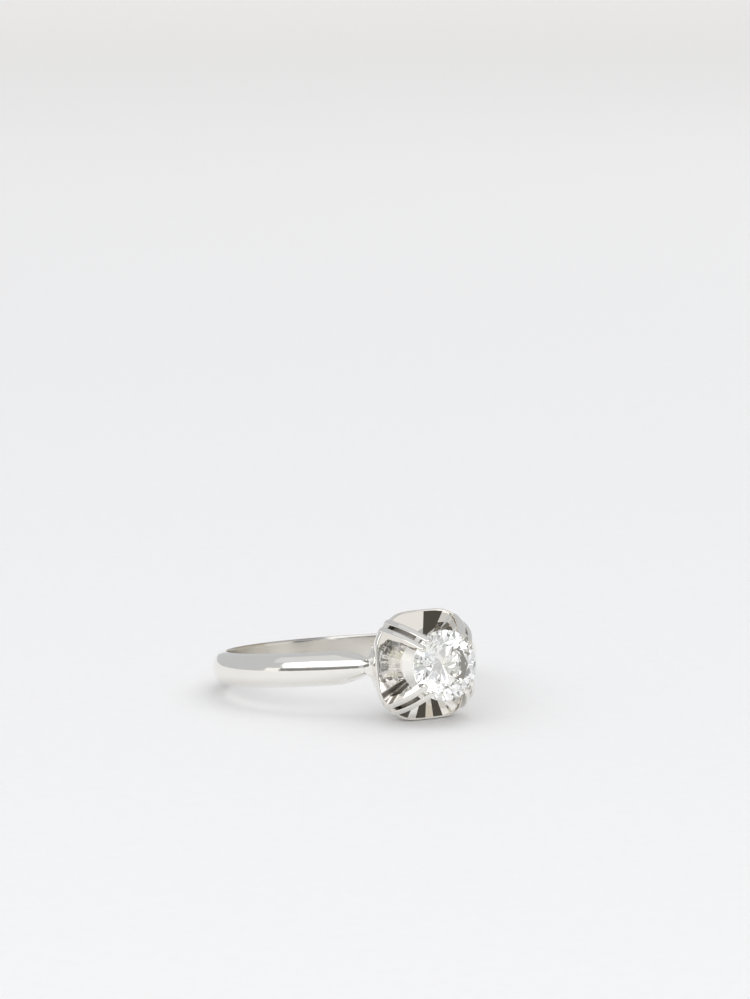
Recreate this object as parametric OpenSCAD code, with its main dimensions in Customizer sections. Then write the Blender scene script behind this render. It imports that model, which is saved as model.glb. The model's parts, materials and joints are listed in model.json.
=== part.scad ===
// Solitaire ring: a half-round band whose shoulders taper into a square head with cut corners.
// The head is a cup with a mirror-cut dish, a smooth collar and four double claws,
// which hold a round brilliant above the dish. Sizes are in millimetres.
// The ring lies on its side as it rests by itself: +X points at the stone, +Z is up,
// and the lower edges of the band's back and of the head's rim touch the plane z = 0.

/* [Band] */
// Inner diameter of the band, the finger size
finger_d = 17.2; // [16.8:0.1:17.6]
// Width of the band along the finger
band_w = 2.45; // [2.3:0.05:2.6]
// Thickness of the band at the crown of its half-round back
band_t = 1.1; // [1.05:0.05:1.2]
// Height of the band's flat sides above the bore
side_t = 0.65; // [0.55:0.05:0.7]
// How far each flat side leans in over its height
side_lean = 0.17; // [0.1:0.01:0.2]
// Distance beside the head at which the shoulders' flat filing turns into an arc
taper_y = 3.9; // [3.7:0.1:4.1]
// Radius of the arcs that the shoulders are filed to beside the head
taper_r = 3.3; // [3:0.1:3.6]
// Lean of the filed sides, which meet the bore wide and the crown narrow, in degrees
taper_lean = 22.5; // [20:0.5:25]
// Width of the shoulders where they run under the head
neck_w = 0.8; // [0.7:0.05:0.9]

/* [Head] */
// Width of the square head across its flats
head_w = 7.76; // [7.6:0.02:7.9]
// Distance from the finger's centre line to the head's rim
rim_x = 12.3; // [12.2:0.05:12.5]
// Height of the head from its base to the rim
cup_h = 3.25; // [3.1:0.05:3.3]
// Width of the cup's base, as a part of the head's width
base_part = 0.58; // [0.54:0.01:0.6]
// Width of the flat land along the rim
land_w = 0.13; // [0.1:0.01:0.16]
// Depth of the dish where it meets the collar
dish_h = 0.1; // [0.08:0.01:0.12]
// Depth of the valleys between the mirror cuts at the rim
cut_h = 0.13; // [0.1:0.01:0.18]
// Radius of the collar's foot
collar_r = 1.9; // [1.85:0.05:1.95]
// Height of the collar's top above the rim
collar_h = 1.25; // [1.15:0.05:1.3]

/* [Claws] */
// Width of a double claw
claw_w = 1.11; // [1.05:0.01:1.15]
// Depth of a claw, from its outer face inwards
claw_d = 0.85; // [0.8:0.05:0.9]
// Width of the slot along a claw
slot_w = 0.29; // [0.28:0.01:0.36]
// Radius of the bow that a claw's outer face follows
claw_bow = 6.4; // [6.3:0.05:6.5]
// Lean of a claw towards the stone at the rim, in degrees
claw_root = 13; // [12:0.5:14]
// Lean of a claw towards the stone at its tip, in degrees
claw_tip = 47; // [46:0.5:48]
// Radius of the bead at the end of each claw bar
bead_r = 0.26; // [0.25:0.01:0.26]

/* [Stone] */
// Diameter of the round brilliant
stone_d = 5; // [4.9:0.05:5.1]
// Height of the stone's girdle above the head's rim
girdle_h = 2.75; // [2.7:0.05:2.8]
// Width of the table, as a part of the stone's diameter
table_part = 0.57; // [0.53:0.01:0.62]
// Gap between the stone and the metal
seat_gap = 0.03; // [0.02:0.01:0.05]

/* [Hidden] */
$fn = 96;
// How far cutters reach past what they cut
over = 1;
metal_colour = [0.88, 0.88, 0.87];
stone_colour = [0.93, 0.97, 1, 0.8];

// Band
finger_r = finger_d / 2;
// The band and the head are drawn in past the bore, which is then cut out of both
inner_r = finger_r - 0.3;
band_r = finger_r + band_t;
side_in = band_w / 2 - side_lean;
crown_t = band_t - side_t;
crown_r = (side_in * side_in + crown_t * crown_t) / (2 * crown_t);
// Half the width that the filing leaves at the foot of the shoulders, taper_x from the finger's axis
taper_half = 0.92;
taper_x = 8;

// Head, in a frame with its origin at the centre of the rim and its own axis along +Z
head_half = head_w / 2;
rim_wall = 0.3;
base_x = rim_x - cup_h;
// Rim outline over an eighth of a turn, in parts of head_half: [along the side, out from the centre]
RIM = [[0, 1], [0.19, 0.998], [0.378, 0.986], [0.54, 0.94], [0.668, 0.858], [0.767, 0.767]];
// Cup wall from the base to the rim: [part of cup_h above the base, part of the way out to the rim]
WALL = [[0, 0], [0.3, 0.37], [0.55, 0.7], [0.74, 0.91], [1 - rim_wall / cup_h, 1], [1, 1]];
land_part = 1 - land_w / head_half;
// Step down from the land into the dish: how far in, as a part of head_half, and how far down
step_part = 0.01;
step_h = 0.05;
foot_cut = cut_h / 3;
collar_top_r = 1.2;
collar_hole_r = 1;
collar_bevel = [0.1, 0.05];
// Open space behind the dish: radius at the base and at its end, and how far the end is under the rim
azure_r = 1.75;
azure_top_r = 1.55;
azure_floor = 0.95;
// Fillet of solder beside the base, seen along the finger: [in front of base_x, beside the axis]
FILLET = [[-0.3, 1.9], [1.35, 1.9], [1.35, 2.9], [-0.6, 3.4]];
fillet_centre = [0.785, 3.678];
fillet_r = 0.83;
fillet_w = 0.66;
// Where the fillet spreads along the cup's wall: its start in front of base_x, and the arcs that end it
flare_x = 0.1;
flare_r = 1.15;
flare_y = 3.7;
flare_z = 0.35 + flare_r;

// Claws, in a plane through the head's axis and one corner: [out from the axis, above the rim]
claw_foot = [4.27, -0.05];
bow_centre = claw_foot - claw_bow * [cos(claw_root), sin(claw_root)];
knee = claw_foot - claw_d * [cos(claw_root), sin(claw_root)];
post_lean = 28;
post_l = cup_h / cos(post_lean);
bar_w = (claw_w - slot_w) / 2;
bar_y = (slot_w + bar_w) / 2;
edge_r = 0.1;
slot_d = 0.48;
valley_d = 0.12;
knee_inset = 0.01;
// How far the knee's turn runs on into the arm and into the post, in degrees
knee_over = 2;
bead_in = 0.27;
slot_start = claw_root + 3;
slot_end = claw_tip - 8;
bridge_end = claw_tip - 4.5;

// Stone, in the head's frame
stone_r = stone_d / 2;
table_r = stone_r * table_part;
crown_h = 0.15 * stone_d;
girdle_t = 0.03 * stone_d;
pavilion_h = 0.43 * stone_d;
girdle_top = girdle_h + girdle_t / 2;
girdle_low = girdle_h - girdle_t / 2;
half_step = cos(22.5);
star_r = (table_r * half_step + stone_r) / 2;
star_z = girdle_top + crown_h * (stone_r - star_r * half_step) / (stone_r - table_r);
lower_r = 0.23 * stone_r;
lower_z = girdle_low - pavilion_h * (stone_r - lower_r * half_step) / stone_r;
culet_z = girdle_low - pavilion_h;

// Resting place: the tilt at which the back of the band and the rim's lower edge touch the floor
rest_x = rim_x - rim_wall;
tilt = atan((head_half - band_w / 2) / (rest_x + finger_r));
lift = finger_r * sin(tilt) + band_w / 2 * cos(tilt);
front_x = (rim_x + girdle_top + crown_h) * cos(tilt) + table_r * sin(tilt);
back_x = band_r * cos(tilt);
centre_x = (front_x - back_x) / 2;

// Puts what is modelled about the finger's centre line, stone towards +X, in its resting place
module at_rest() {
    translate([-centre_x, 0, lift])
        rotate([0, -tilt, 0])
            children();
}

// Puts what is modelled in the head's frame on the ring
module on_head() {
    translate([rim_x, 0, 0])
        rotate([0, 90, 0])
            children();
}

// Repeats a part, modelled in the plane of a corner with its width along Z, at the four corners
module at_corners() {
    for (turn = [45:90:315])
        rotate([0, 0, turn])
            rotate([90, 0, 0])
                children();
}

// Section of the band beside the bore: leaning sides under a half-round back
module band_section() {
    intersection() {
        translate([band_r - crown_r, 0])
            circle(r = crown_r);
        polygon([
            [inner_r, -band_w / 2],
            [finger_r, -band_w / 2],
            [finger_r + side_t, -side_in],
            [band_r + over, -side_in],
            [band_r + over, side_in],
            [finger_r + side_t, side_in],
            [finger_r, band_w / 2],
            [inner_r, band_w / 2]
        ]);
    }
}

// Plan of what is filed off one side of the shoulders, seen along the filing's own lean
module shoulder_cut() {
    difference() {
        translate([-band_r - over, -band_w])
            square([2 * (band_r + over), 4 * band_w]);
        for (side = [-1, 1])
            translate([side * taper_y, taper_half - taper_r])
                circle(r = taper_r, $fn = 360);
        for (side = [0, 1])
            mirror([side, 0])
                translate([taper_y, taper_half - 4 * band_w])
                    square([band_r, 4 * band_w]);
    }
}

module band() {
    difference() {
        rotate_extrude($fn = 360)
            band_section();
        for (side = [0, 1])
            mirror([0, 0, side])
                difference() {
                    translate([taper_x, 0, 0])
                        rotate([0, taper_lean, 0])
                            rotate([90, 0, 90])
                                translate([0, 0, -taper_x / 2])
                                    linear_extrude(taper_x)
                                        shoulder_cut();
                    translate([0, 0, neck_w / 2 - band_w])
                        cube([4 * band_r, 2 * taper_y, 2 * band_w], center = true);
                }
    }
}

// One ring of the cup's points: the rim outline scaled by part, at height z
function rim_ring(part, z) = [
    for (turn = [0:3], i = [0:9])
        let (
            p = RIM[i <= 5 ? i : 10 - i],
            out = i <= 5 ? p[1] : p[0],
            along = i <= 5 ? p[0] : p[1],
            s = head_half * part
        )
        [
            s * (out * cos(90 * turn) - along * sin(90 * turn)),
            s * (out * sin(90 * turn) + along * cos(90 * turn)),
            z
        ]
];

// The same ring with every second point lowered by depth, the valleys of the mirror cuts
function cut_ring(points, depth) = [
    for (i = [0:39]) points[i] - [0, 0, i % 2 == 0 ? 0 : depth]
];

function round_ring(r, z) = [
    for (i = [0:39]) [r * cos(9 * i), r * sin(9 * i), z]
];

// Cup with its rim, dish and collar, closed: a stack of rings of 40 points
module cup() {
    wall = [
        for (row = WALL)
            rim_ring(base_part + (1 - base_part) * row[1], cup_h * (row[0] - 1))
    ];
    dish = [
        rim_ring(land_part, 0),
        cut_ring(rim_ring(land_part - step_part, -step_h), cut_h),
        cut_ring(round_ring(collar_r, -dish_h), foot_cut),
        round_ring(collar_top_r + collar_bevel[0], collar_h - collar_bevel[1]),
        round_ring(collar_top_r, collar_h)
    ];
    rings = concat(wall, dish);
    points = [for (ring = rings, p = ring) p];
    last = len(rings) - 1;
    faces = concat(
        [[for (i = [0:39]) i]],
        [[for (i = [39:-1:0]) last * 40 + i]],
        [
            for (row = [0:last - 1], i = [0:39], half = [0, 1])
                let (
                    a = row * 40 + i,
                    b = row * 40 + (i + 1) % 40,
                    c = a + 40,
                    d = b + 40
                )
                half == 0 ? [a, c, b] : [b, c, d]
        ]
    );
    polyhedron(points, faces);
}

// Profile of the open space behind the dish and of the hole through the collar
module azure() {
    translate([0, 0, -cup_h - over])
        cylinder(h = cup_h + over - azure_floor, r1 = azure_r, r2 = azure_top_r);
    translate([0, 0, -azure_floor - over])
        cylinder(h = azure_floor + collar_h + 2 * over, r = collar_hole_r);
}

// Section of a claw, its sides set in by inset: two bars from x = 0 to x = claw_d with rounded
// edges and a shallow valley between them
module claw_section(inset) {
    half = bar_w / 2 - inset;
    for (side = [-1, 1])
        translate([0, side * bar_y]) {
            translate([0, -half])
                square([claw_d - inset - edge_r, 2 * half]);
            translate([0, edge_r - half])
                square([claw_d - inset, 2 * (half - edge_r)]);
            for (edge = [-1, 1])
                translate([claw_d - inset - edge_r, edge * (half - edge_r)])
                    circle(r = edge_r, $fn = 24);
        }
    translate([0, -slot_w / 2 - bar_w / 2])
        square([claw_d - valley_d - inset, slot_w + bar_w]);
}

// Sweeps a claw section along the bow, between two leans in degrees
module along_bow(from, to) {
    translate(bow_centre)
        rotate([0, 0, from])
            rotate_extrude(angle = to - from, $fn = 120)
                translate([claw_bow - claw_d, 0])
                    children();
}

// Two claw bars above the rim, with a slot between them that is closed at both ends
module bars() {
    difference() {
        along_bow(claw_root, claw_tip)
            claw_section(0);
        along_bow(slot_start, slot_end)
            translate([claw_d - slot_d, -slot_w / 2])
                square([slot_d + over, slot_w]);
        along_bow(bridge_end, 2 * claw_tip - bridge_end)
            translate([-over, -slot_w / 2])
                square([claw_d + 2 * over, slot_w]);
    }
}

// Double claw with a bead at the tip of each bar and a notch for the stone's girdle
module arm() {
    difference() {
        union() {
            bars();
            for (side = [-1, 1])
                translate(bow_centre)
                    rotate([0, 0, claw_tip])
                        translate([claw_bow - bead_in, 0, side * bar_y])
                            rotate([0, 90, 0])
                                sphere(r = bead_r, $fn = 24);
        }
        rotate([-90, 0, 0])
            seat();
    }
}

// Post down the corner of the cup, with the knee that joins it to the arm
module post() {
    translate(knee)
        rotate([0, 0, -post_lean - knee_over])
            rotate_extrude(angle = claw_root + post_lean + 2 * knee_over, $fn = 120)
                claw_section(knee_inset);
    translate(knee)
        rotate([0, 0, -post_lean])
            rotate([90, 0, 0])
                linear_extrude(post_l)
                    claw_section(0);
}

// Fillet of solder in the corner between a shoulder and the cup's wall, along which it spreads
module shoulder_fillet() {
    translate([base_x, 0, 0])
        difference() {
            union() {
                linear_extrude(fillet_w, center = true)
                    polygon(FILLET);
                linear_extrude(2 * flare_z, center = true)
                    intersection() {
                        polygon(FILLET);
                        translate([flare_x, 0])
                            square(flare_y);
                    }
            }
            translate(fillet_centre)
                cylinder(h = 2 * flare_z + over, r = fillet_r, center = true);
            for (side = [-1, 1])
                translate([-over, flare_y, side * flare_z])
                    rotate([0, 90, 0])
                        cylinder(h = 2 * over + FILLET[1][0], r = flare_r);
        }
}

// Space that the stone takes up, grown by seat_gap
module seat() {
    g = seat_gap;
    rotate_extrude()
        polygon([
            [0, culet_z - 1.4 * g],
            [lower_r + 0.8 * g, lower_z - 0.8 * g],
            [stone_r + g, girdle_low - 0.5 * g],
            [stone_r + g, girdle_top + 0.5 * g],
            [star_r + 0.6 * g, star_z + g],
            [table_r + 0.4 * g, girdle_top + crown_h + g],
            [0, girdle_top + crown_h + g]
        ]);
}

module ring_mount() {
    color(metal_colour)
        at_rest()
            difference() {
                union() {
                    band();
                    for (side = [0, 1])
                        mirror([0, side, 0])
                            shoulder_fillet();
                    on_head()
                        difference() {
                            union() {
                                cup();
                                at_corners() {
                                    arm();
                                    post();
                                }
                            }
                            azure();
                            translate([0, 0, -cup_h - head_half])
                                cube([2 * head_w, 2 * head_w, head_w], center = true);
                        }
                }
                cylinder(h = 2 * head_w, r = finger_r, center = true, $fn = 360);
            }
}

// Round brilliant with 57 facets and a faceted girdle, eight mirror-image wedges
module stone() {
    function around(r, z, start) = [
        for (i = [0:7]) [r * cos(45 * i + start), r * sin(45 * i + start), z]
    ];
    // Rows of eight points: table, star, girdle top and bottom at the mains and between them, lower
    points = concat(
        around(table_r, girdle_top + crown_h, 0),
        around(star_r, star_z, 22.5),
        around(stone_r, girdle_top, 0),
        around(stone_r, girdle_top, 22.5),
        around(stone_r, girdle_low, 0),
        around(stone_r, girdle_low, 22.5),
        around(lower_r, lower_z, 22.5),
        [[0, 0, culet_z]]
    );
    table = 0;
    star = 8;
    top_main = 16;
    top_half = 24;
    low_main = 32;
    low_half = 40;
    lower = 48;
    culet = 56;
    faces = concat(
        [[for (i = [7:-1:0]) table + i]],
        [
            for (i = [0:7])
                let (j = (i + 1) % 8, k = (i + 7) % 8)
                each [
                    [table + i, table + j, star + i],
                    [table + i, star + i, top_main + i, star + k],
                    [star + i, top_half + i, top_main + i],
                    [star + i, top_main + j, top_half + i],
                    [top_main + i, top_half + i, low_half + i, low_main + i],
                    [top_half + i, top_main + j, low_main + j, low_half + i],
                    [lower + i, low_main + i, low_half + i],
                    [lower + i, low_half + i, low_main + j],
                    [culet, lower + k, low_main + i, lower + i]
                ]
        ]
    );
    color(stone_colour)
        at_rest()
            on_head()
                polyhedron(points, faces);
}

ring_mount();
stone();
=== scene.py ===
import json
import math

import bmesh
import bpy
from mathutils import Matrix, Vector


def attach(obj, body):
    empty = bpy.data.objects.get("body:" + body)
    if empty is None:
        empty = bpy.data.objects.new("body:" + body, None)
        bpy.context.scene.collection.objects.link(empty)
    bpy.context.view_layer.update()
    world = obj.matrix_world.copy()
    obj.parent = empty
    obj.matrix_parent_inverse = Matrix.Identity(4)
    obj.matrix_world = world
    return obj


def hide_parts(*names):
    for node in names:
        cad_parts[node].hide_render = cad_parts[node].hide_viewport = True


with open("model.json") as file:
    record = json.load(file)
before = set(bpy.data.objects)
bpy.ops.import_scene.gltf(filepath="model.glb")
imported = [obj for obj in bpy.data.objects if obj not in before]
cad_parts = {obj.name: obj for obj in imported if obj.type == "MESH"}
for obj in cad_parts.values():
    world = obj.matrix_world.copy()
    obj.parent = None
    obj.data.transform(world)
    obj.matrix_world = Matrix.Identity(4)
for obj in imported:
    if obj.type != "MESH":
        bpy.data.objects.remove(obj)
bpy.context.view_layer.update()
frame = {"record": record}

# The ring's own frame: the finger runs along Z through the origin and the head stands out along X.
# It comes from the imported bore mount, so every piece below is modelled upright in millimetres
# and is then laid on its side in the same place as the solids.
bore = frame["record"]["mounts"][0]
MM = 0.001
finger_axis = Vector(bore["axis"]).normalized()
across = Vector((0, 1, 0))
ring_frame = Matrix.Translation(bore["pos_m"]) @ Matrix(
    (across.cross(finger_axis), across, finger_axis)
).transposed().to_4x4() @ Matrix.Scale(MM, 4)

# Camera: a long lens near the table's height, aimed above the ring, which lies low in the frame.
# It is placed by its bearing from a point on the finger's axis and by where that point shows.
image_w, image_h = 750, 999
sensor = 36
focal_px = 3944
distance = 0.2896
bearing, height_angle, roll = math.radians(62.07), math.radians(10.49), math.radians(-0.39)
aim_point = Vector((bore["pos_m"][0], 0, 0.002))
aim_pixel = Vector((343.6, 663.1))
away = Vector((
    math.sin(bearing) * math.cos(height_angle),
    -math.cos(bearing) * math.cos(height_angle),
    math.sin(height_angle),
))
camera = bpy.data.objects.new("camera", bpy.data.cameras.new("camera"))
bpy.context.scene.collection.objects.link(camera)
camera.data.sensor_width = sensor
camera.data.lens = focal_px * sensor / image_h
camera.location = aim_point + away * distance
straight = (-away).to_track_quat("-Z", "Y").to_matrix()
off = (aim_pixel - Vector((image_w, image_h)) / 2) / focal_px
turned = straight @ Matrix.Rotation(math.atan(off.x), 3, "Y") @ Matrix.Rotation(math.atan(off.y), 3, "X")
camera.rotation_euler = (turned @ Matrix.Rotation(roll, 3, "Z")).to_euler()
camera.data.clip_start = 0.01
bpy.context.scene.camera = camera
bpy.context.scene.view_settings.view_transform = "Standard"


# Studio: a wide table covered with white paper in a pale room. The paper glows more towards its far
# end, a painted glow that stands for light on the far table. Two large lamps overhead give the soft
# shadows. The polished metal mirrors a soft box beside the camera, the pale ceiling, and the cards,
# screens and walls that stand round the ring.
class Wire:
    """One socket of a shader tree. Arithmetic on it adds Math nodes; node() adds any other node."""

    def __init__(self, tree, socket=None):
        self.tree = tree
        self.socket = socket

    def node(self, kind, settings=None, inputs=None, output=0):
        made = self.tree.nodes.new("ShaderNode" + kind)
        for name, value in (settings or {}).items():
            setattr(made, name, value)
        for name, value in (inputs or {}).items():
            if isinstance(value, Wire):
                self.tree.links.new(value.socket, made.inputs[name])
            else:
                made.inputs[name].default_value = value
        return Wire(self.tree, made.outputs[output] if made.outputs else None)

    def maths(self, operation, *values):
        return self.node("Math", {"operation": operation}, dict(enumerate(values)))

    def __add__(self, other):
        return self.maths("ADD", self, other)

    def __radd__(self, other):
        return self.maths("ADD", other, self)

    def __sub__(self, other):
        return self.maths("SUBTRACT", self, other)

    def __rsub__(self, other):
        return self.maths("SUBTRACT", other, self)

    def __mul__(self, other):
        return self.maths("MULTIPLY", self, other)

    def __rmul__(self, other):
        return self.maths("MULTIPLY", other, self)

    def __truediv__(self, other):
        return self.maths("DIVIDE", self, other)

    def __rtruediv__(self, other):
        return self.maths("DIVIDE", other, self)

    def __pow__(self, other):
        return self.maths("POWER", self, other)

    def __rpow__(self, other):
        return self.maths("POWER", other, self)


def new_material(name):
    """A material with an empty tree, and the tree's start."""
    made = bpy.data.materials.new(name)
    made.use_nodes = True
    made.node_tree.nodes.clear()
    return made, Wire(made.node_tree)


def noise(tree, coordinates, scale, detail=2.0):
    return tree.node("TexNoise", {}, {"Vector": coordinates, "Scale": scale, "Detail": detail})


def blend(tree, factor, first, second):
    """A colour between two colours."""
    return tree.node("Mix", {"data_type": "RGBA"}, {"Factor": factor, 6: first, 7: second}, 2)


def add_object(name, mesh):
    """Turns a bmesh into an object at the origin."""
    data = bpy.data.meshes.new(name)
    mesh.to_mesh(data)
    mesh.free()
    made = bpy.data.objects.new(name, data)
    bpy.context.scene.collection.objects.link(made)
    return made


table_size = 12.0
paper_white, paper_shade = (0.9, 0.895, 0.895, 1), (0.87, 0.865, 0.865, 1)
far_painted_glow = (0.33, 0.31, 0.285, 1)
far_reach = 0.9
table = bmesh.new()
bmesh.ops.create_grid(table, x_segments=2, y_segments=2, size=table_size / 2)
floor = add_object("table_top", table)
table_paint, tree = new_material("table_paper")
where = tree.node("TexCoord", output="Object")
far_off = tree.node("VectorMath", {"operation": "LENGTH"}, {0: where}, "Value") ** 2
paper = tree.node("BsdfPrincipled", {}, {
    "Base Color": blend(tree, noise(tree, where, 900.0, 4.0), paper_shade, paper_white),
    "Roughness": 0.6,
    "Specular IOR Level": 0.2,
    # Painted glow: the paper gives off more light the further it lies from the ring
    "Emission Color": blend(tree, far_off / (far_off + far_reach), (0, 0, 0, 1), far_painted_glow),
    "Emission Strength": 1.0,
})
tree.node("OutputMaterial", {}, {"Surface": paper})
floor.data.materials.append(table_paint)

room = bpy.data.worlds.new("room")
bpy.context.scene.world = room
room.use_nodes = True
room.node_tree.nodes["Background"].inputs["Color"].default_value = (0.95, 0.97, 1, 1)
room.node_tree.nodes["Background"].inputs["Strength"].default_value = 0.6


def arc_card(name, turns, heights, far, colour):
    """An upright strip of card round the ring between two bearings, seen only as the metal mirrors it."""
    strip = bmesh.new()
    low = strip.verts.new((far, 0, heights[0]))
    high = strip.verts.new((far, 0, heights[1]))
    bmesh.ops.rotate(strip, verts=strip.verts, matrix=Matrix.Rotation(math.radians(turns[0]), 3, "Z"))
    bmesh.ops.spin(
        strip, geom=[low, high, strip.edges.new((low, high))], cent=(0, 0, 0), axis=(0, 0, 1),
        angle=math.radians(turns[1] - turns[0]), steps=48,
    )
    made = add_object(name, strip)
    paint, tree = new_material(name)
    glow = tree.node("Emission", {}, {"Color": (*colour, 1), "Strength": 1.0})
    tree.node("OutputMaterial", {}, {"Surface": glow})
    made.data.materials.append(paint)
    made.visible_camera = False
    made.visible_diffuse = False
    made.visible_shadow = False
    made.visible_transmission = False


def soft_box(name, turn, rise, far, size, radiance, colour):
    """A soft box with an even glow that faces the ring from a bearing and a rise in degrees."""
    made = bpy.data.objects.new(name, bpy.data.lights.new(name, "AREA"))
    made.data.shape = "RECTANGLE"
    made.data.size, made.data.size_y = size
    made.data.energy = radiance * math.pi * size[0] * size[1]
    made.data.color = colour
    turn, rise = math.radians(turn), math.radians(rise)
    flat = math.cos(rise)
    made.location = Vector((math.cos(turn) * flat, math.sin(turn) * flat, math.sin(rise))) * far
    made.rotation_euler = (-made.location).to_track_quat("-Z", "Y").to_euler()
    made.visible_camera = False
    bpy.context.scene.collection.objects.link(made)
    return made


charcoal = (0.08, 0.075, 0.065)
for name, turns, heights, far, colour in (
    ("white_card", (-102, -87), (-0.001, 0.09), 0.35, (1, 0.99, 0.97)),
    ("grey_gap", (-87, -16), (-0.001, 0.078), 0.35, (0.25, 0.245, 0.235)),
    ("dark_stand", (0, 27), (-0.001, 0.062), 0.35, charcoal),
    ("cream_wall", (27, 110), (0.0, 0.26), 0.5, (0.63, 0.585, 0.51)),
    ("dark_screen", (3, 26), (0.0, 0.09), 0.34, charcoal),
    ("white_wall", (25, 60), (0.05, 0.25), 0.48, (0.86, 0.85, 0.83)),
):
    arc_card(name, turns, heights, far, colour)
soft_box("front_box", -50, 32.5, 0.6, (0.84, 0.31), 1.3, (1, 0.995, 0.985))
ceiling = soft_box("pale_ceiling", -64, 63, 0.6, (0.85, 0.4), 0.15, (1, 1, 0.99))
ceiling.visible_diffuse = False
for name, turn, rise, radiance in (("overhead_lamp", 85, 62, 1.0), ("fill_lamp", -120, 55, 0.45)):
    lamp = soft_box(name, turn, rise, 1.0, (1.1, 1.1), radiance, (1, 0.99, 0.975))
    lamp.visible_glossy = False


# Band: half-round white gold wire with flat sides, bent round, soldered shut and polished. Its
# shoulders are filed down to a narrow neck that runs under the head. The bore is worn satin, and its
# eased edges are painted a little dark, a painted dark reflection.
finger_r = bore["dims"]["r_mm"]
band_w = bore["dims"]["length_mm"]
band_t = 1.1
side_t = 0.65
side_lean = 0.17
taper_y = 3.9
taper_r = 3.3
taper_lean = math.radians(22.5)
taper_half = 0.92
taper_x = 8.0
neck_w = 0.8
edge_round = 0.08
ease_w = 0.3
ease_r = 0.018
ease_painted_dark = 0.5
band_r = finger_r + band_t
side_in = band_w / 2 - side_lean
crown_t = band_t - side_t
crown_r = (side_in ** 2 + crown_t ** 2) / (2 * crown_t)
warm_grey = (0.89, 0.865, 0.82, 1)
pale_grey = (0.93, 0.91, 0.87, 1)
painted_dark_colour = (0.1, 0.085, 0.07, 1)
mirror_rough = 0.03
satin_rough = 0.14
dark_and_frost_rough = 0.3
frost_cover = 0.85
frost_painted_glow = 0.18


def wipe_marks(tree, where, rotation, scale):
    """Fine marks that run along one direction, as a cloth leaves them."""
    along = tree.node("Mapping", {}, {"Vector": where, "Rotation": rotation, "Scale": scale})
    return noise(tree, along, 1.0, 3.0) ** 6


def white_gold(name, wear):
    """Polished white gold with wipe marks and a satin bore; painted shade or dark reflection, and frost with
    a painted glow, where its layers say.
    """
    made, tree = new_material(name)
    where = tree.node("TexCoord", output="Object")
    streaks = wipe_marks(tree, where, (0.4, 0.7, 0.3), (700, 9000, 9000))
    crossed = wipe_marks(tree, where, (1.1, -0.5, 1.9), (900, 12000, 12000))
    marks = (streaks + crossed) * 4
    handled = noise(tree, where, 350.0, 3.0)
    wave = noise(tree, where, 260.0, 1.0)
    lines = tree.node("Bump", {}, {"Strength": 0.25, "Distance": 0.000004 * wear, "Height": marks})
    swell = tree.node("Bump", {}, {
        "Strength": 1.0, "Distance": 0.00002 * wear, "Height": wave, "Normal": lines,
    })
    from_bore = tree.node("VectorMath", {"operation": "SUBTRACT"}, {0: where, 1: bore["pos_m"]})
    aside = tree.node("VectorMath", {"operation": "CROSS_PRODUCT"}, {0: from_bore, 1: finger_axis})
    radius = tree.node("VectorMath", {"operation": "LENGTH"}, {0: aside}, "Value")
    satin = radius.maths("LESS_THAN", radius, (finger_r + ease_r / 9) * MM) * satin_rough
    worn = (0.05 * handled + 0.1 * marks) * wear
    frosted = tree.node("Attribute", {"attribute_name": "frosted"}, output="Fac")
    grime = tree.node("Attribute", {"attribute_name": "grime"}, output="Fac")
    metal = tree.node("BsdfPrincipled", {}, {
        # Painted shade and painted dark reflections: the metal turns towards a dark colour where its layer
        # says
        "Base Color": blend(tree, grime, blend(tree, handled, warm_grey, pale_grey), painted_dark_colour),
        "Metallic": 1 - frost_cover * frosted,
        "Roughness": mirror_rough + worn + satin + dark_and_frost_rough * (grime + frosted),
        "Normal": swell,
        # Painted glow: the frost-finished collar glows a little, standing for the light the stone throws on
        # it
        "Emission Color": frosted,
        "Emission Strength": frost_painted_glow,
    })
    tree.node("OutputMaterial", {}, {"Surface": metal})
    return made


def add_piece(name, mesh, place, material, node, crease=math.radians(32)):
    """Closes a part modelled in millimetres and puts it on the ring in place of a solid."""
    bmesh.ops.remove_doubles(mesh, verts=mesh.verts, dist=0.0005)
    bmesh.ops.recalc_face_normals(mesh, faces=mesh.faces)
    for face in mesh.faces:
        face.smooth = True
    for edge in mesh.edges:
        if len(edge.link_faces) == 2 and edge.calc_face_angle(0) > crease:
            edge.smooth = False
    bmesh.ops.transform(mesh, matrix=place, verts=mesh.verts)
    made = add_object(name, mesh)
    made.data.materials.append(material)
    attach(made, "root")
    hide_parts(node)


def filed(x, y):
    """Half the width that the filing leaves of the shoulders at a point beside the head."""
    inside = max(taper_y - abs(y), 0)
    plan = taper_half - taper_r + math.sqrt(max(taper_r ** 2 - inside ** 2, 0))
    leaning = (plan - (x - taper_x) * math.sin(taper_lean)) / math.cos(taper_lean)
    return max(leaning, neck_w / 2) if inside else leaning


def crown_at(z):
    """Radius of the band's half-round back at a height z beside its middle."""
    return band_r - crown_r + math.sqrt(crown_r ** 2 - z ** 2)


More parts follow.
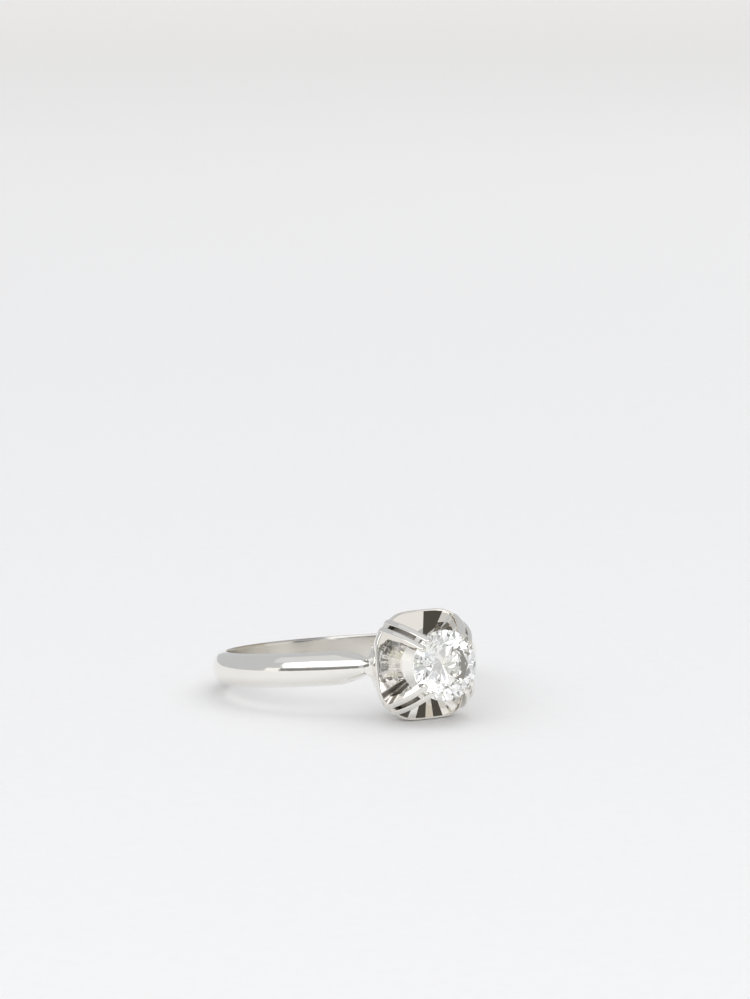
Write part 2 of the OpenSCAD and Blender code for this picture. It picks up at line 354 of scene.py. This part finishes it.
band = bmesh.new()
crown_steps = 22
half_span = math.asin(side_in / crown_r)
places = [(finger_r, ease_w - band_w / 2), (finger_r + ease_r, -band_w / 2)]
for i in range(crown_steps + 1):
    height = crown_r * math.sin(half_span * (2 * i / crown_steps - 1))
    places.append((crown_at(height), height))
places += [(finger_r + ease_r, band_w / 2), (finger_r, band_w / 2 - ease_w)]
section = [band.verts.new((r, 0, z)) for r, z in places]
outline = [band.edges.new(pair) for pair in zip(section, section[1:] + section[:1])]
bmesh.ops.spin(
    band, geom=section + outline, cent=(0, 0, 0), axis=(0, 0, 1),
    angle=2 * math.pi, steps=288, use_merge=True, use_normal_flip=False, use_duplicate=False,
)
for vert in band.verts:
    x, y, z = vert.co
    r = math.hypot(x, y)
    if x > 0 and r < finger_r + side_t / 2:
        vert.co.z = math.copysign(min(abs(z), filed(x, y)), z)
    elif x > 0:
        edge = side_in
        for step in range(6):
            grown = crown_at(edge) / r
            edge = min(side_in, filed(x * grown, y * grown))
        vert.co.z = z * edge / side_in
        vert.co.xy *= crown_at(vert.co.z) / r
sharp_turn = math.radians(25)
sharp = [e for e in band.edges if e.calc_face_angle(0) > sharp_turn]
bmesh.ops.bevel(band, geom=sharp, offset=edge_round, segments=3, profile=0.5, affect="EDGES", material=-1)
# Painted dark reflection along the bore's eased edges
grime = band.verts.layers.float.new("grime")
for vert in band.verts:
    if ease_r / 4 < math.hypot(vert.co.x, vert.co.y) - finger_r < 3 * ease_r:
        vert[grime] = ease_painted_dark
polished = white_gold("polished_white_gold", 1.0)
add_piece("band", band, ring_frame, polished, "ring_mount")

# Cup: the head's cast body. Its wall bulges from a small base to a square rim with bowed sides and
# cut corners, rolled smooth. The dish inside is cut by hand into bright flat facets, four petals
# round a raised collar whose outside is matt with frost and glows faintly, a painted glow. Two of
# the facets are painted dark, a painted dark reflection.
head_half = 3.88
rim_x = 12.3
cup_h = 3.25
base_part = 0.58
rim_wall = 0.3
wall_bulge = 0.2
roll_r = 0.065
dish_start = 0.07
dish_h = 0.1
cut_h = 0.13
collar_r = 1.9
collar_top_r = 1.2
collar_hole_r = 1.0
collar_h = 1.25
collar_lap = 0.01
collar_lip = 0.06
collar_bow = 0.85
azure_r = 1.75
azure_top_r = 1.55
azure_floor = 0.95
corner_reach = 1.54
corner_power = 14
facet_turns = (0, 10.8, 21, 30, 37.9, 45)
facet_steps = 4
facets = 40
per_petal = facets // 4
facet_shift = 4
# The facets between these two lines are painted dark, a painted dark reflection, this much
painted_dark_lines = (33, 35)
line_painted_dark = 0.9
# Depth of the ten facet lines of each petal, in parts of cut_h, with the petal's middle at place 5.
# The rows are the lowest petal, the one at the right of the stone, the top one and the left one.
petal_lines = (
    (2.7, 0, 1, 0, 1, 0, 1, 0, 1, 1),
    (0.5, 0, 1, 0, 1, 0, 1, 0, 1, 0),
    (0.5, 0.4, 1.2, 0.2, 0.8, 1.6, 1.2, 1.1, 1, 0.9),
    (0.7, 0.5, 0.4, 0.45, 0.35, 0.4, 0.3, 0.5, 2.7, 2.7),
)
# Further depth of the same lines beside the collar, in the same parts
petal_bowl = (
    (-0.9, 0, 0, 0, 0, 0.3, 0.8, 0.8, 0.4, 0),
    (0, 0, 0, 0, 0, 0, 0, 0, 0, 0),
    (0, 0, 0, 0, 0, 0, 0, 0, 0, 0),
    (0, 0, 0, 0, 0, 0, 0, 0, -0.9, -0.9),
)
head_frame = ring_frame @ Matrix.Translation((rim_x, 0, 0)) @ Matrix.Rotation(math.pi / 2, 4, "Y")


def facet_turn(line):
    """Direction of a facet line of the dish, in radians, from the middle of the lowest petal."""
    petal, place = divmod(line, per_petal)
    half = per_petal // 2
    turn = facet_turns[place] if place <= half else 90 - facet_turns[per_petal - place]
    return math.radians(90 * petal + turn - (facet_shift if place != half else 0))


def line_depth(line, table):
    petal, place = divmod((line + per_petal // 2) % facets, per_petal)
    return table[petal][place] * cut_h


def rim_point(turn, out, z):
    """Point of the rim's outline in a direction round the head's axis, grown or shrunk to half width out."""
    c, s = abs(math.cos(turn)), abs(math.sin(turn))
    reach = sum(side ** corner_power for side in (c, s, (c + s) / corner_reach)) ** (-1 / corner_power)
    return Vector((math.cos(turn) * reach * out, math.sin(turn) * reach * out, z))


def round_point(line, r, z):
    turn = 2 * math.pi * line / facets
    return Vector((r * math.cos(turn), r * math.sin(turn), z))


def on_line(i):
    """Direction of point i of a smooth ring, spread evenly between the facet lines."""
    line, step = divmod(i, facet_steps)
    there = facet_turn(line + 1) if line + 1 < facets else 2 * math.pi
    return facet_turn(line) + (there - facet_turn(line)) * step / facet_steps


def dish_point(i, t):
    """Point i of a facetted ring of the dish, a part t of the way from the rim to the collar."""
    line, step = divmod(i, facet_steps)
    ends = []
    for near in (line, (line + 1) % facets):
        cut = line_depth(near, petal_lines)
        outer = rim_point(facet_turn(near), head_half - 2 * roll_r, -dish_start - cut)
        inner = round_point(near, collar_r, -dish_h - cut / 3 - line_depth(near, petal_bowl))
        ends.append(outer.lerp(inner, t))
    return ends[0].lerp(ends[1], step / facet_steps)


wall_steps = 10
roll_steps = 6
dish_steps = 5
collar_steps = 6
rows = []
for step in range(wall_steps + 1):
    t = step / wall_steps
    out = head_half * (base_part + (1 - base_part) * t * (1 + wall_bulge - wall_bulge * t ** 3))
    rows.append(("wall", lambda i, out=out, z=-cup_h + (cup_h - rim_wall) * t: rim_point(on_line(i), out, z)))
for step in range(roll_steps + 1):
    a = math.pi * step / roll_steps
    out = head_half - roll_r + roll_r * math.cos(a)
    rows.append(("roll", lambda i, out=out, z=roll_r * (math.sin(a) - 1): rim_point(on_line(i), out, z)))
for step in range(dish_steps + 1):
    rows.append(("dish", lambda i, t=step / dish_steps: dish_point(i, t)))
collar_rows = [(collar_r - collar_lap, -dish_h)]
for step in range(1, collar_steps + 1):
    t = step / collar_steps
    drawn_in = (collar_top_r + 2 * collar_lip - collar_r) * t ** collar_bow
    collar_rows.append((collar_r + drawn_in, -dish_h + (collar_h - collar_lip + dish_h) * t))
collar_rows.append((collar_top_r + collar_lip, collar_h))
hole_rows = [
    (collar_hole_r, collar_h), (collar_hole_r, -azure_floor),
    (azure_top_r, -azure_floor), (azure_r, -cup_h),
]
for part, places in (("collar", collar_rows), ("hole", hole_rows)):
    for r, z in places:
        rows.append((part, lambda i, r=r, z=z: round_point(i / facet_steps, r, z)))

cup = bmesh.new()
grime = cup.verts.layers.float.new("grime")
frost_glow_of = cup.verts.layers.float.new("frosted")
place_of = cup.verts.layers.int.new("place")
in_dish = cup.verts.layers.int.new("in_dish")
first = bmesh.ops.create_circle(cup, cap_ends=False, radius=1, segments=facets * facet_steps)["verts"]
loop = sorted(first, key=lambda v: math.atan2(v.co.y, v.co.x) % (2 * math.pi - 1e-4))
for i, vert in enumerate(loop):
    vert[place_of] = i
edges = start_edges = cup.edges[:]
for number, (part, place) in enumerate(rows):
    if number:
        grown = bmesh.ops.extrude_edge_only(cup, edges=edges)["geom"]
        loop = [g for g in grown if isinstance(g, bmesh.types.BMVert)]
        edges = [g for g in grown if isinstance(g, bmesh.types.BMEdge) and g.is_boundary]
    for vert in loop:
        vert.co = place(vert[place_of])
        vert[in_dish] = part == "dish"
        # The collar is frost-finished and also glows, a painted glow
        vert[frost_glow_of] = part == "collar"
        line = vert[place_of] / facet_steps
        # Painted dark reflection on the facets between the two lines, though not on the line between them
        vert[grime] = line_painted_dark * (part == "dish" and painted_dark_lines[0] < line < painted_dark_lines[1] and line % 1 > 0)
bmesh.ops.bridge_loops(cup, edges=start_edges + edges)
for edge in cup.edges:
    a, b = edge.verts
    if a[in_dish] and b[in_dish] and a[place_of] == b[place_of] and a[place_of] % facet_steps == 0:
        edge.smooth = False
    if a[in_dish] != b[in_dish] or (a[in_dish] and edge.calc_face_angle(0) > math.radians(20)):
        edge.smooth = False
bright_cut = white_gold("bright_cut_white_gold", 0.2)
add_piece("cup", cup, head_frame, bright_cut, "ring_mount")

# Claws: four cast double claws at the cut corners. Each is a pair of flat-faced bars that bends from a
# post down the corner over the stone and ends in two beads; the slot between the bars is darkened
# with painted shade. The claws are notched for the stone's girdle.
claw_w = 1.11
claw_d = 0.85
slot_w = 0.29
edge_r = 0.1
slot_d = 0.48
# Painted shade in the slot: how dark deep in it, how much darker at its ends, and how far it reaches onto the
# bars
slot_shade = 0.5
slot_end_shade = 0.4
shade_spread = 0.02
valley_d = 0.12
claw_bow = 6.4
claw_root = math.radians(13)
claw_tip = math.radians(47)
slot_start = claw_root + math.radians(3)
slot_end = claw_tip - math.radians(8)
bridge_end = claw_tip - math.radians(4.5)
bead_r = 0.26
bead_in = 0.27
post_lean = math.radians(28)
post_l = cup_h / math.cos(post_lean)
bar_w = (claw_w - slot_w) / 2
bar_y = (slot_w + bar_w) / 2
claw_foot = Vector((4.27, -0.05, 0))
seat_gap = 0.03


def leaning(turn):
    """Direction out of a claw's face where it leans in by a turn, in the corner's own plane."""
    return Vector((math.cos(turn), math.sin(turn), 0))


def only_edges(geometry):
    return [g for g in geometry if isinstance(g, bmesh.types.BMEdge)]


def only_verts(geometry):
    return [g for g in geometry if isinstance(g, bmesh.types.BMVert)]


bow_centre = claw_foot - leaning(claw_root) * claw_bow
knee = claw_foot - leaning(claw_root) * claw_d
bow_steps = 44
knee_steps = 12
claw = bmesh.new()


def sweep_claw(points, end):
    """Sweeps an outline of (depth, width) points up the bow to its end's lean, and down the knee and post."""
    places = [knee + leaning(claw_root) * depth + Vector((0, 0, width)) for depth, width in points]
    verts = [claw.verts.new(place) for place in places]
    edges = [claw.edges.new(pair) for pair in zip(verts, verts[1:] + verts[:1])]
    up = bmesh.ops.spin(
        claw, geom=verts + edges, cent=bow_centre, axis=(0, 0, 1), angle=end - claw_root, steps=bow_steps,
    )
    down = bmesh.ops.spin(
        claw, geom=verts + edges, cent=knee, axis=(0, 0, 1), angle=-claw_root - post_lean, steps=knee_steps,
    )
    foot = bmesh.ops.extrude_edge_only(claw, edges=only_edges(down["geom_last"]))["geom"]
    bmesh.ops.translate(claw, vec=leaning(-post_lean - math.pi / 2) * post_l, verts=only_verts(foot))
    bmesh.ops.edgeloop_fill(claw, edges=only_edges(up["geom_last"]))
    bmesh.ops.edgeloop_fill(claw, edges=[e for e in only_edges(foot) if e.is_boundary])


edge_steps = 4
for side in (-1, 1):
    inner, outer = side * (bar_y - bar_w / 2), side * (bar_y + bar_w / 2)
    bar = [(0, inner)]
    for flank, turns in ((inner, (0, 1)), (outer, (1, 0))):
        toward = math.copysign(1, bar_y * side - flank)
        for i in range(edge_steps + 1):
            t = turns[0] + (turns[1] - turns[0]) * i / edge_steps
            a = math.pi / 2 * t
            bar.append((claw_d - edge_r + edge_r * math.sin(a), flank + toward * edge_r * (1 - math.cos(a))))
    bar.append((0, outer))
    sweep_claw(bar, claw_tip)
    bead = bow_centre + leaning(claw_tip) * (claw_bow - bead_in) + Vector((0, 0, side * bar_y))
    bmesh.ops.create_uvsphere(
        claw, u_segments=24, v_segments=16, radius=bead_r, matrix=Matrix.Translation(bead),
    )
before_web = set(claw.verts)
web_w = slot_w + bar_w
face_d = claw_d - valley_d
sweep_claw([(0, -web_w / 2), (face_d, -web_w / 2), (face_d, web_w / 2), (0, web_w / 2)], bridge_end)
for vert in claw.verts:
    arm = (vert.co - bow_centre).xy
    in_slot = slot_start < math.atan2(arm.y, arm.x) < slot_end
    if vert not in before_web and arm.length > claw_bow - slot_d and in_slot:
        vert.co.xy = bow_centre.xy + arm * ((claw_bow - slot_d) / arm.length)


def carved(part, cutter):
    """A part less a cutter, both in millimetres, with the part's own overlaps made one skin."""
    kept, tool = add_object("kept", part), add_object("tool", cutter)
    cut = kept.modifiers.new("cut", "BOOLEAN")
    cut.object = tool
    cut.operation = "DIFFERENCE"
    cut.solver = "EXACT"
    cut.use_self = True
    result = bmesh.new()
    result.from_object(kept, bpy.context.evaluated_depsgraph_get())
    for used in (kept, tool):
        bpy.data.objects.remove(used)
    return result


# The stone's own sizes come here, because the claws are carved to them
stone_d = 5.0
girdle_h = 2.75
table_part = 0.57
stone_r = stone_d / 2
table_r = stone_r * table_part
crown_h = 0.15 * stone_d
girdle_t = 0.03 * stone_d
pavilion_h = 0.43 * stone_d
girdle_top = girdle_h + girdle_t / 2
girdle_low = girdle_h - girdle_t / 2
table_z = girdle_top + crown_h
half_step = math.cos(math.pi / 8)
star_r = (table_r * half_step + stone_r) / 2
star_z = girdle_top + crown_h * (stone_r - star_r * half_step) / (stone_r - table_r)
lower_r = 0.23 * stone_r
lower_z = girdle_low - pavilion_h * (stone_r - lower_r * half_step) / stone_r
culet_z = girdle_low - pavilion_h
seat = bmesh.new()
# Outline of the stone grown by the seat's gap, from its point up to its table
profile = (
    (0, culet_z - 1.4 * seat_gap),
    (lower_r + 0.8 * seat_gap, lower_z - 0.8 * seat_gap),
    (stone_r + seat_gap, girdle_low - 0.5 * seat_gap),
    (stone_r + seat_gap, girdle_top + 0.5 * seat_gap),
    (star_r + 0.6 * seat_gap, star_z + seat_gap),
    (table_r + 0.4 * seat_gap, table_z + seat_gap),
    (0, table_z + seat_gap),
)
verts = [seat.verts.new((r, 0, z)) for r, z in profile]
edges = [seat.edges.new(pair) for pair in zip(verts, verts[1:])]
bmesh.ops.spin(
    seat, geom=verts + edges, cent=(0, 0, 0), axis=(0, 0, 1), angle=2 * math.pi, steps=96, use_merge=True,
)
bmesh.ops.remove_doubles(seat, verts=seat.verts, dist=0.0001)
bmesh.ops.recalc_face_normals(seat, faces=seat.faces)
bmesh.ops.remove_doubles(claw, verts=claw.verts, dist=0.0001)
bmesh.ops.recalc_face_normals(claw, faces=claw.faces)
bmesh.ops.transform(claw, matrix=Matrix.Rotation(math.pi / 2, 4, "X"), verts=claw.verts)
claw = carved(claw, seat)
bmesh.ops.bisect_plane(
    claw, geom=claw.verts[:] + claw.edges[:] + claw.faces[:], dist=1e-5,
    plane_co=(0, 0, -cup_h), plane_no=(0, 0, -1), clear_outer=True,
)
bmesh.ops.holes_fill(claw, edges=[e for e in claw.edges if e.is_boundary])
grime = claw.verts.layers.float.new("grime")
# Painted shade: the slot darkens with depth and towards its ends
for vert in claw.verts:
    arm = Vector((vert.co.x, vert.co.z)) - bow_centre.xy
    deep = (claw_bow - arm.length - edge_r) / (slot_d - edge_r)
    along = (math.atan2(arm.y, arm.x) - slot_start) / (slot_end - slot_start)
    if abs(vert.co.y) < slot_w / 2 + shade_spread and 0 < along < 1.05:
        vert[grime] = min(max(deep, 0), 1) * (slot_shade + slot_end_shade * abs(2 * along - 1) ** 2)
rubbed = white_gold("rubbed_white_gold", 0.5)
for number, turn in enumerate((45, 135, 225, 315), 1):
    add_piece(
        f"double_claw_{number}", claw.copy(), head_frame @ Matrix.Rotation(math.radians(turn), 4, "Z"),
        rubbed, "ring_mount",
    )
claw.free()


# Stone: a round brilliant of near-colourless diamond. It is turned to a cylinder and ground flat,
# facet by facet: eight mains and stars and sixteen halves on the crown, eight mains and sixteen
# halves on the pavilion.
def at(r, z, eighths):
    """Point at a radius and a height, a number of eighths of a turn round the stone."""
    turn = math.pi / 4 * eighths
    return Vector((r * math.cos(turn), r * math.sin(turn), z))


stone = bmesh.new()
bmesh.ops.create_cone(
    stone, cap_ends=True, segments=96, radius1=stone_r, radius2=stone_r,
    depth=crown_h + girdle_t + pavilion_h,
)
bmesh.ops.translate(stone, verts=stone.verts, vec=(0, 0, (culet_z + girdle_top + crown_h) / 2))
middle = Vector((0, 0, girdle_h))


def facet(a, b, c):
    """Grinds the stone flat along the plane through three points."""
    normal = (b - a).cross(c - a).normalized()
    if normal.dot(a - middle) < 0:
        normal = -normal
    cut = bmesh.ops.bisect_plane(
        stone, geom=stone.verts[:] + stone.edges[:] + stone.faces[:], dist=1e-5,
        plane_co=a, plane_no=normal, clear_outer=True,
    )
    rim = [edge for edge in only_edges(cut["geom_cut"]) if edge.is_boundary]
    if rim:
        bmesh.ops.edgeloop_fill(stone, edges=rim)


for k in range(8):
    facet(at(table_r, table_z, k), at(stone_r, girdle_top, k), at(star_r, star_z, k + 0.5))
    facet(at(stone_r, girdle_low, k), at(lower_r, lower_z, k + 0.5), Vector((0, 0, culet_z)))
for k in range(8):
    facet(at(table_r, table_z, k), at(table_r, table_z, k + 1), at(star_r, star_z, k + 0.5))
    for side in (0, 1):
        corner, mid = k + side, k + 0.5
        facet(at(star_r, star_z, mid), at(stone_r, girdle_top, corner), at(stone_r, girdle_top, mid))
        facet(at(lower_r, lower_z, mid), at(stone_r, girdle_low, corner), at(stone_r, girdle_low, mid))

clear, violet, lemon = (0.99, 0.995, 0.985, 1), (0.93, 0.93, 1, 1), (0.97, 1, 0.86, 1)
violet_part, lemon_part = 0.36, 0.62
diamond_ior = 2.417
diamond, tree = new_material("clear_diamond")
where = tree.node("TexCoord", output="Object")
# Painted fire: violet and lemon flecks in the stone's colour stand in for the coloured light it splits
painted_fire = noise(tree, where, 1500.0, 1.0)
cool = blend(tree, painted_fire.maths("LESS_THAN", painted_fire, violet_part), clear, violet)
glass = tree.node("BsdfPrincipled", {}, {
    "Base Color": blend(tree, painted_fire.maths("GREATER_THAN", painted_fire, lemon_part), cool, lemon),
    "Roughness": 0.0,
    "IOR": diamond_ior,
    "Transmission Weight": 1.0,
    # Painted glow: the stone gives off a little warm light, lifting its dark facets
    "Emission Color": (1, 0.98, 0.94, 1),
    "Emission Strength": 0.03,
})
tree.node("OutputMaterial", {}, {"Surface": glass})
add_piece("brilliant", stone, head_frame, diamond, "stone", crease=math.radians(1))

# Shoulder fillets: solder run into the corner between each shoulder and the cup's wall, where it
# spreads up and down along the wall and is smoothed off.
base_x = rim_x - cup_h
fillet_back, fillet_side = 0.3, 1.9
fillet_centre = Vector((base_x + 0.785, 3.678, 0))
fillet_r = 0.83
fillet_half = 0.35
fillet_front = 1.35
flare_x = 0.1
flare_y = 3.7
flare_r = 1.15
flare_z = fillet_half + flare_r
flare_steps = 24
arc_steps = 14
arc_start, arc_turn = 204, 90
for name, side in (("near", -1), ("far", 1)):
    fillet = bmesh.new()
    points = [
        Vector((base_x + fillet_front, fillet_side, 0)),
        Vector((base_x - fillet_back, fillet_side, 0)),
        Vector((base_x - 2 * fillet_back, fillet_centre.y - fillet_r / 3, 0)),
    ]
    for i in range(arc_steps + 1):
        turn = math.radians(arc_start + arc_turn * i / arc_steps)
        points.append(fillet_centre + fillet_r * Vector((math.cos(turn), math.sin(turn), 0)))
    verts = [fillet.verts.new((p.x, p.y, -flare_z)) for p in points]
    edges = [fillet.edges.new(pair) for pair in zip(verts, verts[1:] + verts[:1])]
    fillet.faces.new(verts)
    for step in range(2 * flare_steps):
        grown = bmesh.ops.extrude_edge_only(fillet, edges=edges)["geom"]
        edges = [e for e in only_edges(grown) if e.is_boundary]
        bmesh.ops.translate(fillet, vec=(0, 0, flare_z / flare_steps), verts=only_verts(grown))
    bmesh.ops.edgeloop_fill(fillet, edges=edges)
    for vert in fillet.verts:
        arm = vert.co.xy - fillet_centre.xy
        if abs(arm.length - fillet_r) < 0.001:
            vert.co.xy += arm.normalized() * (band_r - crown_at(min(abs(vert.co.z), fillet_half)))
        out = abs(vert.co.z) - fillet_half
        if out > 0:
            vert.co.y = min(vert.co.y, flare_y - math.sqrt(max(flare_r ** 2 - (flare_r - out) ** 2, 0)))
            vert.co.x = max(vert.co.x, base_x + flare_x)
        vert.co.y *= side
    add_piece(f"shoulder_fillet_{name}", fillet, ring_frame, bright_cut, "ring_mount")
